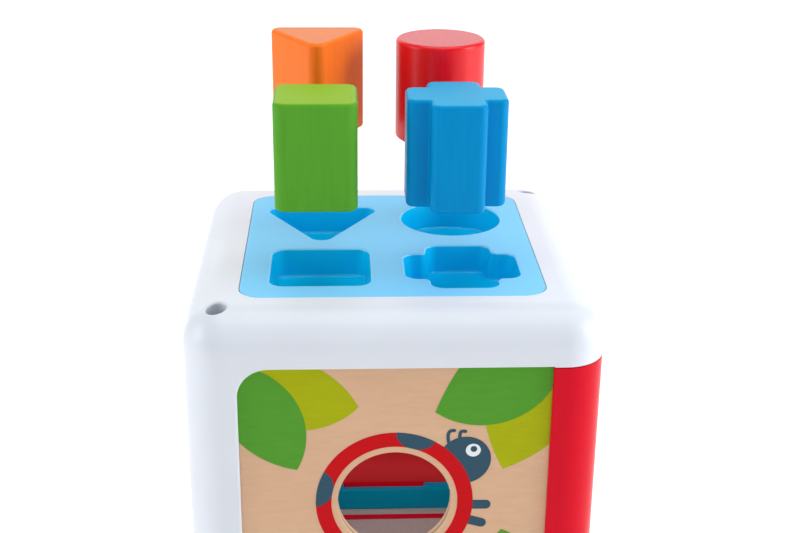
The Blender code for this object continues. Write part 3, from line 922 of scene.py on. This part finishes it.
BLOCKS = {
    "square": (square(0.01495, 0.0042), "green_paint"),
    "plus": (plus(0.01815, 0.0099, 0.0034, 0.0010), "blue_paint"),
    "triangle": (triangle(0.01214, 0.0040), "orange_paint"),
    "cylinder": (circle(0.01745), "red_paint"),
}

# Each paint: its colour on the sides, its colour on the ends (painted light: a lighter or darker copy for how
# light falls on the top), its roughness and its gloss
PAINTS = {
    "green_paint": ((0.088, 0.335, 0.026), (0.230, 0.450, 0.012), 0.42, 0.07),
    "blue_paint": ((0.0, 0.245, 0.560), (0.0, 0.350, 0.630), 0.34, 0.05),
    "orange_paint": ((0.950, 0.180, 0.012), (0.720, 0.165, 0.012), 0.36, 0.12),
    "red_paint": ((0.850, 0.004, 0.012), (0.560, 0.014, 0.028), 0.30, 0.32),
}


def build_blocks():
    for kind, (outline, slot) in BLOCKS.items():
        low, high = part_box("block_" + kind)
        shift = outline_middle(outline)
        centre = ((low.x + high.x) / 2 - shift.x, (low.y + high.y) / 2 - shift.y)
        look = painted_wood(slot + "_look", *PAINTS[slot])
        block = pebble(f"block_{kind}_fine", outline, low.z, high.z, BLOCK_EDGE_R, centre=centre,
                       steps=ARC_STEPS, edge_steps=8)
        finish(block, look, kind + "_block", "block_" + kind, slot=slot)


def outline_middle(outline):
    """The middle of the outline's box, which for the triangle isn't its centroid."""
    points = with_arcs(outline)
    xs, ys = [p[0] for p in points], [p[1] for p in points]
    return Vector(((min(xs) + max(xs)) / 2, (min(ys) + max(ys)) / 2))


# Door, hinge, latch, screws and floor

def build_door():
    """A leaf with a barrel along its hinge edge, and a shallow recess that leaves a plate round the latch."""
    low, high = BORDER + DOOR_CLEARANCE, SEAM_TOP - DOOR_CLEARANCE
    left = -WINDOW + DOOR_CLEARANCE
    edge, shoulder = 0.0005, 0.0001
    outline = rectangle(left, low + shoulder, HINGE.x, high - shoulder, 0.0012)
    door = pebble("rear_door_fine", outline, *DOOR_Y, edge, axis="Y", edge_steps=4)
    join(door, pebble("barrel", circle(BARREL_R, 48), low, high, 0.0004, centre=HINGE, edge_steps=3))
    inset, depth = 0.010, 0.0008
    field = rectangle(left + inset, low + inset, HINGE.x - inset, high - inset, 0.006)
    recess = stack("recess", field, [(DOOR_Y[1] - depth, -depth), (DOOR_Y[1] + SKIN, SKIN)], axis="Y")
    plate_levels = [(0, 0)] + rim(DOOR_Y[1], edge) + [(HALF, -edge)]
    cut(recess, stack("plate", circle(PLATE_R, 64), plate_levels, axis="Y", centre=LATCH))
    bore, deep = PIN_R + PIN_CLEARANCE, 0.010
    cut(door, recess,
        drilled(bore, low - SKIN, low + deep, HINGE, 24),
        drilled(bore, high - deep, high + SKIN, HINGE, 24),
        prism("latch_hole", circle(SHAFT_R + GAP, 48), 0, HALF, axis="Y", centre=LATCH))
    finish(door, RED, "door", "rear_door", slot="red_plastic")


def build_hinge_pins():
    for name in ("hinge_pin_top", "hinge_pin_base"):
        low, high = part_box(name)
        pin = pebble(name + "_fine", circle(PIN_R, 32), low.z, high.z, 0.0003, centre=HINGE, edge_steps=3)
        finish(pin, STEEL, "box", name, slot="steel")


def build_latch():
    """Knob and shaft outside, tongue inside, held by one screw."""
    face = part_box("latch_knob")
    dial_low = DOOR_Y[1] + GAP
    knob = pebble("latch_knob_fine", circle(KNOB_R, 64), dial_low, dial_low + 0.0016, 0.0006, axis="Y",
                  centre=LATCH)
    grip = pebble("grip", rectangle(-0.0095, -0.002, 0.0095, 0.002, 0.0018), dial_low + 0.001, face[1].y,
                  0.0007, axis="Y", centre=LATCH)
    shaft = prism("shaft", circle(SHAFT_R, 48), face[0].y, dial_low + 0.001, axis="Y", centre=LATCH)
    join(knob, grip, shaft)
    cut(knob, prism("pilot", circle(LATCH_PILOT_R, 24), 0, dial_low + 0.0008, axis="Y", centre=LATCH))
    finish(knob, BLUE, "latch", "latch_knob", slot="blue_plastic")
    low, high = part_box("latch_tongue")
    outline = rectangle(-TONGUE_R, -TONGUE_R, TONGUE_REACH + TONGUE_R, TONGUE_R, TONGUE_R * 0.999)
    tongue = pebble("latch_tongue_fine", outline, low.y, high.y, 0.0006, axis="Y", centre=LATCH,
                    steps=ARC_STEPS)
    cut(tongue, prism("hole", circle(LATCH_PILOT_R, 24), 0, HALF, axis="Y", centre=LATCH))
    finish(tongue, BLUE, "latch", "latch_tongue", slot="blue_plastic")
    low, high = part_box("latch_screw")
    screw = pan_head("latch_screw_fine", LATCH, 1, low.y + 0.0018, high.y, 0.0027, 0.0018, 0.0011, "Y")
    finish(screw, STEEL, "latch", "latch_screw", slot="steel")


def pan_head(name, centre, way, seat, tip, head_r, head_h, shank_r, axis="Z"):
    """A domed head with a cross recess whose underside is at seat, on a pointed shank that runs on to tip."""
    top = seat - way * head_h
    dome = [(top + way * head_h * 0.55 * (1 - cos(a)), head_r * sin(a)) for a in quarter_turn(9)[1:]]
    point = tip - way * shank_r * 1.5
    profile = dome + [(seat, head_r), (seat, shank_r), (point, shank_r), (tip, shank_r * 0.2)]
    if way < 0:
        profile = list(reversed(profile))
    screw = turned(name, profile, centre, axis)
    recess = prism("recess", plus(head_r * 0.55, head_r * 0.13, 0, 0),
                   *sorted((top - way * GAP, top + way * head_h * 0.5)), axis=axis, centre=centre)
    return cut(screw, recess)


def build_screws():
    for name, centre, way, head, _, tip in screw_runs():
        screw = pan_head(name + "_fine", centre, way, head - way * GAP, tip, 0.0032, 0.0024, 0.0015)
        finish(screw, STEEL, "box", name, slot="steel")
    for place, centre in TRAY_SCREWS.items():
        name = "tray_screw_" + place
        screw = pan_head(name + "_fine", centre, 1, LEDGE_LOW - GAP, BODY - 0.0055, 0.0030, 0.0022, 0.0013)
        finish(screw, STEEL, "box", name, slot="steel")


def dress_floor():
    """The floor plates and the rail keep their CAD shapes, with softened edges."""
    # Both looks are painted shade: the plates and rail are coloured darker than their white and blue, as in
    # the dim inside of the box.
    for name, look in (("floor_plate_front", BOARD_IN_PAINTED_SHADE), ("floor_plate_rear", BOARD_IN_PAINTED_SHADE), ("threshold_rail", BLUE_PLASTIC_IN_PAINTED_SHADE)):
        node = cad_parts[name]
        node.data.materials.clear()
        node.data.materials.append(look)
        welded = node.modifiers.new("welded", "WELD")
        welded.merge_threshold = 0.00001
        softened = node.modifiers.new("edges", "BEVEL")
        softened.width = 0.0003
        softened.segments = 3
        softened.limit_method = "ANGLE"
        softened.angle_limit = radians(40)


# Stage

def build_stage():
    def sheet(bm):
        bmesh.ops.create_grid(bm, x_segments=1, y_segments=1, size=6)
    floor = mesh_object("stage_floor", sheet)
    look = Look("stage_floor_look", 0.9, specular=0.1)
    look.color(look.ramp(look.noise(3), [(0.3, (0.86,) * 3), (0.7, (0.88,) * 3)]))
    look.shader.inputs["Emission Color"].default_value = (1, 1, 1, 1)
    look.shader.inputs["Emission Strength"].default_value = 0.38
    floor.data.materials.append(look.material)


def softbox(name, position, target, size, power, reflected=True):
    """A rectangular lamp that points at the target; one that isn't reflected makes no highlights."""
    data = bpy.data.lights.new(name, "AREA")
    data.shape = "RECTANGLE"
    data.size, data.size_y = size
    data.energy = power
    lamp = bpy.data.objects.new(name, data)
    lamp.visible_glossy = reflected
    lamp.location = position
    lamp.rotation_euler = (Vector(target) - Vector(position)).to_track_quat("-Z", "Y").to_euler()
    bpy.context.scene.collection.objects.link(lamp)


def build_light():
    world = bpy.data.worlds.new("studio")
    world.use_nodes = True
    world.node_tree.nodes["Background"].inputs["Color"].default_value = (1, 1, 1, 1)
    world.node_tree.nodes["Background"].inputs["Strength"].default_value = 0.18
    bpy.context.scene.world = world
    softbox("back_softbox", (0.0, 2.2, 1.05), (0, 0, 0.15), (3.6, 1.9), 26)
    softbox("top_softbox", (0.1, -0.05, 1.6), (0, 0, 0.1), (1.4, 1.4), 17.5)
    softbox("right_softbox", (1.1, -0.2, 0.45), (0, 0, 0.16), (0.6, 0.7), 9.5)
    softbox("left_softbox", (-1.1, -0.2, 0.45), (0, 0, 0.16), (0.6, 0.7), 6)
    softbox("front_fill", (-0.03, -0.80, 0.47), (0, 0, 0.10), (0.30, 0.30), 0.45)
    softbox("inside_glow", (0, -0.052, 0.105), (0, 0.060, 0.070), (0.06, 0.03), 0.085, reflected=False)


def build_camera():
    """Square on to the front, a little to the left, looking down at the tray."""
    data = bpy.data.cameras.new("camera")
    data.sensor_width = 36
    data.lens = 60.6
    camera = bpy.data.objects.new("camera", data)
    pitch, yaw, roll = radians(21.83), radians(2.71), radians(-0.59)
    forward = Vector((sin(yaw) * cos(pitch), cos(yaw) * cos(pitch), -sin(pitch)))
    level = Vector((cos(yaw), -sin(yaw), 0))
    down = forward.cross(level)
    right = level * cos(roll) + down * sin(roll)
    below = -level * sin(roll) + down * cos(roll)
    axes = Matrix((right, -below, -forward)).transposed()
    camera.matrix_world = Matrix.Translation((-0.0189, -0.4964, 0.3382)) @ axes.to_4x4()
    bpy.context.scene.collection.objects.link(camera)
    bpy.context.scene.camera = camera


build_camera()
build_stage()
build_light()
build_shells()
build_panels()
build_picture()
build_tray()
build_blocks()
build_door()
build_hinge_pins()
build_latch()
build_screws()
dress_floor()
bpy.context.scene.view_settings.view_transform = "Standard"
